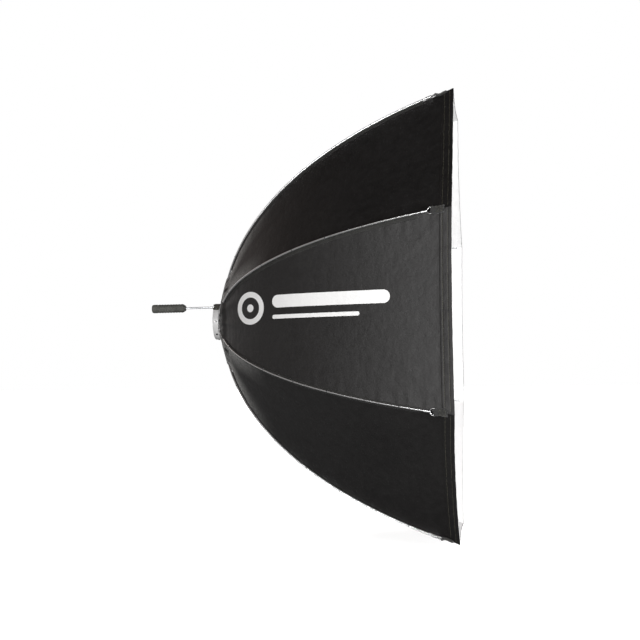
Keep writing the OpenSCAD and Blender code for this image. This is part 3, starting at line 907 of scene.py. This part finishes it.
def tip_tab(k):
    """webbing tab: looped through the D-ring's bar and sewn down on the lip of the canopy"""
    along, out = rib_along(k, RIB_LEN), rib_outward(k, RIB_LEN)
    tangent = tangential(rib_angle(k))
    bar = rib_point(k, TAB_BAR)

    def cloth_height(x):
        """height of the cloth's outer face over the straight rib line, x beyond the bar"""
        return -float(seam_inset(np.array(TAB_BAR + x), BLACK_OUT))

    def droop(x, w):
        """the tab is creased along the seam, so its sides lie down on the two gores"""
        return -0.37 * (math.sqrt(w * w + 16.0) - 4.0) * min(1.0, max(0.0, (x - 6) / 10.0))

    # path of the webbing (beyond the bar, outwards): top layer, loop round the bar, under layer
    path = [(x, cloth_height(x) + 3.1) for x in np.linspace(34, 10, 10)]
    path.append((4.5, 0.6))
    path += [(3.1 * math.cos(f), 3.1 * math.sin(f))
             for f in np.linspace(math.radians(60), math.radians(300), 13)]
    path.append((4.0, -3.6))
    path += [(x, cloth_height(x) + 1.1) for x in np.linspace(9, 37, 10)]
    path = np.array(path)
    run = np.gradient(path, axis=0)
    run /= np.linalg.norm(run, axis=1)[:, None]
    normals = np.stack([-run[:, 1], run[:, 0]], 1)
    lengths = np.concatenate([[0], np.cumsum(np.linalg.norm(np.diff(path, axis=0), axis=1))])
    verts, uvs = [], []
    for side in (1, -1):
        for w in TAB_COLS:
            half = TAB_HALF_CLOTH * (1.0 if abs(w) < 10.9 else 0.55)
            for (x, y), normal, length in zip(path, normals, lengths):
                verts.append(bar + along * (x + normal[0] * half * side)
                             + out * (y + normal[1] * half * side + droop(x, w)) + tangent * w)
                uvs.append((length * MM, w * MM))
    tab = new_band("tip_tab_%d" % k, verts, uvs, len(path), len(TAB_COLS), M_WEB, mirrored=True)

    def on_top(x, w):
        height = cloth_height(x) + 3.1 + TAB_HALF_CLOTH + 0.1 + droop(x, w)
        return bar + along * x + out * height + tangent * w

    # a sewn box with a cross in it
    near, far, side = 13.0, 31.0, 8.0
    box = [(near, -side), (far, -side), (far, side), (near, side)]
    lines = [(box[i], box[j]) for i, j in ((0, 1), (1, 2), (2, 3), (3, 0), (0, 2), (3, 1))]
    points, directions = [], []
    for (xa, wa), (xb, wb) in lines:
        n = max(2, int(math.hypot(xb - xa, wb - wa) / 3.2))
        for i in range(n):
            here, ahead = (on_top(xa + (xb - xa) * f, wa + (wb - wa) * f)
                           for f in ((i + 0.5) / n, (i + 0.5) / n + 0.02))
            points.append(here)
            directions.append(ahead - here)
    sewing = stitches("tab_stitching_%d" % k, points, directions, [out] * len(points), M_THREAD,
                      length=2.4, width=0.7, height=0.35)
    return tab, sewing


S_SEAM = np.linspace(142, RIB_LEN - 44, 92)
S_TAPE = np.linspace(60, TOTAL - 20, 80)
for k in range(1, RIBS + 1):
    outer = canopy_piece("canopy_%d" % k, k, ROWS_OUT, (BLACK_OUT, BLACK_IN),
                         (M_PRINT if k in (1, RIBS) else M_OUT, M_OUT, M_EDGE))
    lining = canopy_piece("lining_%d" % k, k, ROWS_IN, (LINING_OUT, LINING_IN), [M_SILVER] * 3)
    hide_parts("canopy_panel_%d" % k)
    flange = seam_band("seam_flange_%d" % k, k, S_SEAM, FLANGE, lift=0.02, material=M_EDGE,
                       edge=0.5, cols=(-1.0, -0.94, -0.55, -0.1, 0.0))
    tape = seam_band("lining_seam_%d" % k, k, S_TAPE, np.minimum(6.0, 2.0 + rib_r(S_TAPE) * 0.04),
                     lift=0.02, material=M_SILVER_SEAM, edge=0.4, layer=LINING_IN, sign=-1.0)
    flexible = [outer, lining, flange, hem_stitching(k), flange_stitching(k), tape]
    binding = seam_band("seam_binding_%d" % k, k, S_SEAM, 5.0, lift=0.75, material=M_EDGE,
                        edge=0.35)
    stiff = [binding, rod_ties(k), *tip_tab(k)]
    for piece in flexible + stiff:
        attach(piece, "rib_%d" % k)
        if piece in flexible:
            follow_neighbours(piece, k)


# ------------------------------------------------------------------ floor
def floor_material():
    """pale to the camera, dark in what it reflects onto the umbrella"""
    material, tree = new_material("pale_floor")
    pale = ramp(noise(coords(tree), 0.8, detail=2.0),
                (0.3, (0.90, 0.90, 0.90)), (0.7, (0.93, 0.93, 0.93)))
    seen = camera_ray(tree)
    return shade(material, {
        "Base Color": mix(seen, (0.09, 0.09, 0.09, 1), pale),
        "Roughness": 0.95,
        "Specular IOR Level": 0.0,
        "Emission Color": (1.0, 1.0, 1.0, 1),
        "Emission Strength": seen * 0.34,
    })


FLOOR_HALF = 30
FLOOR_Z = CAD_BOX[0][2] - 0.012
floor_corners = [(x * FLOOR_HALF, y * FLOOR_HALF, FLOOR_Z)
                 for x, y in ((-1, -1), (1, -1), (1, 1), (-1, 1))]
floor = new_object("floor", np.array(floor_corners) / MM, [(0, 1, 2, 3)], floor_material(),
                   closed=False)


# ------------------------------------------------------------------ world
def build_world():
    """white to the camera; softer and darker overhead in what it lights"""
    world = bpy.data.worlds.new("studio")
    bpy.context.scene.world = world
    world.use_nodes = True
    tree = world.node_tree
    x, y, z = separate(coords(tree, "Generated"))
    # direction, sign, amount and sharpness of each glow
    lobes = (
        (y, -1.0, 0.45, 2.0),                   # front
        (y, 1.0, 0.22, 2.0),                    # back
        (x, 1.0, 1.10, 2.0),                    # right
        (x, -1.0, 0.38, 2.0),                   # left
        ((y - x) * 0.707, 1.0, 0.50, 5.0),      # back left
    )
    total = 0.05
    for direction, sign, amount, power in lobes:
        total = total + maximum(direction * sign, 0.0) ** power * amount
    total = total * (1.0 - maximum(z, 0.0) * 1.5).clamped()
    seen = camera_ray(tree)
    white = (1.0, 1.0, 1.0, 1)
    tint = mix((maximum(z, 0.0) * 1.6).clamped(), white, (1.0, 0.72, 0.60, 1))
    feed(tree, tree.nodes["Background"],
         {"Strength": maximum(total, seen), "Color": mix(seen, tint, white)})


build_world()


# ------------------------------------------------------------------ lights
def add_light(light, place, target):
    obj = bpy.data.objects.new(light.name, light)
    obj.location = place
    obj.rotation_mode = "QUATERNION"
    obj.rotation_quaternion = (Vector(target) - Vector(place)).to_track_quat("-Z", "Y")
    bpy.context.scene.collection.objects.link(obj)
    return obj


def area_light(name, place, target, size, power):
    light = bpy.data.lights.new(name, "AREA")
    light.energy = power
    light.size = size
    add_light(light, place, target)


mid_x = (CAD_BOX[0][0] + CAD_BOX[1][0]) / 2
area_light("key", place=(mid_x + 2.5, -3.1, -0.35), target=(mid_x + 0.15, 0, 0),
           size=1.5, power=160)
area_light("left", place=(mid_x - 1.25, -3.9, 0.05), target=(mid_x - 0.1, 0, 0),
           size=1.2, power=79)
area_light("inside", place=(mid_x + 3.4, 0.2, 0.5), target=(mid_x, 0, 0), size=2.2, power=50)

# the floor has a wash of its own, so that it stays pale under a faint shadow
only_floor = bpy.data.collections.new("floor_only")
only_floor.objects.link(floor)
for name, energy, shadows in (("wash", 5.0, False), ("wash_shadow", 0.3, True)):
    wash = bpy.data.lights.new(name, "SUN")
    wash.energy = energy
    wash.angle = math.radians(90)
    linking = add_light(wash, (0, 0, 4), (0, 0, 0)).light_linking
    linking.receiver_collection = only_floor
    if not shadows:
        linking.blocker_collection = only_floor

# ------------------------------------------------------------------ camera
AZIMUTH, ELEVATION, ROLL = math.radians(6.863), math.radians(-1.855), math.radians(0.660)
CAM_DISTANCE = 4667.94
CAM_RIGHT, CAM_UP = 325.634, 2.831      # shift across the line of sight, before the roll
CAM_BACK_X = 10.6                       # further shift along -X
LENS, SENSOR = 79.8470596, 36.0

cos_az, sin_az = math.cos(AZIMUTH), math.sin(AZIMUTH)
cos_el, sin_el = math.cos(ELEVATION), math.sin(ELEVATION)
cos_roll, sin_roll = math.cos(ROLL), math.sin(ROLL)
level_right = Vector((cos_az, sin_az, 0))
level_up = Vector((-sin_az * sin_el, cos_az * sin_el, cos_el))
forward = Vector((-sin_az * cos_el, cos_az * cos_el, -sin_el))
cam_place = (CAM_RIGHT * level_right + CAM_UP * level_up - CAM_DISTANCE * forward
             - Vector((CAM_BACK_X + HINGE_X, 0, 0)))
cam_axes = (cos_roll * level_right - sin_roll * level_up,
            sin_roll * level_right + cos_roll * level_up, -forward)

cam_data = bpy.data.cameras.new("camera")
cam_data.sensor_width = SENSOR
cam_data.lens = LENS
cam_data.clip_start, cam_data.clip_end = 0.1, 60
camera = bpy.data.objects.new("camera", cam_data)
cam_matrix = Matrix(cam_axes).transposed().to_4x4()
cam_matrix.translation = cam_place * MM
camera.matrix_world = cam_matrix
bpy.context.scene.collection.objects.link(camera)
bpy.context.scene.camera = camera
bpy.context.scene.view_settings.view_transform = "Standard"
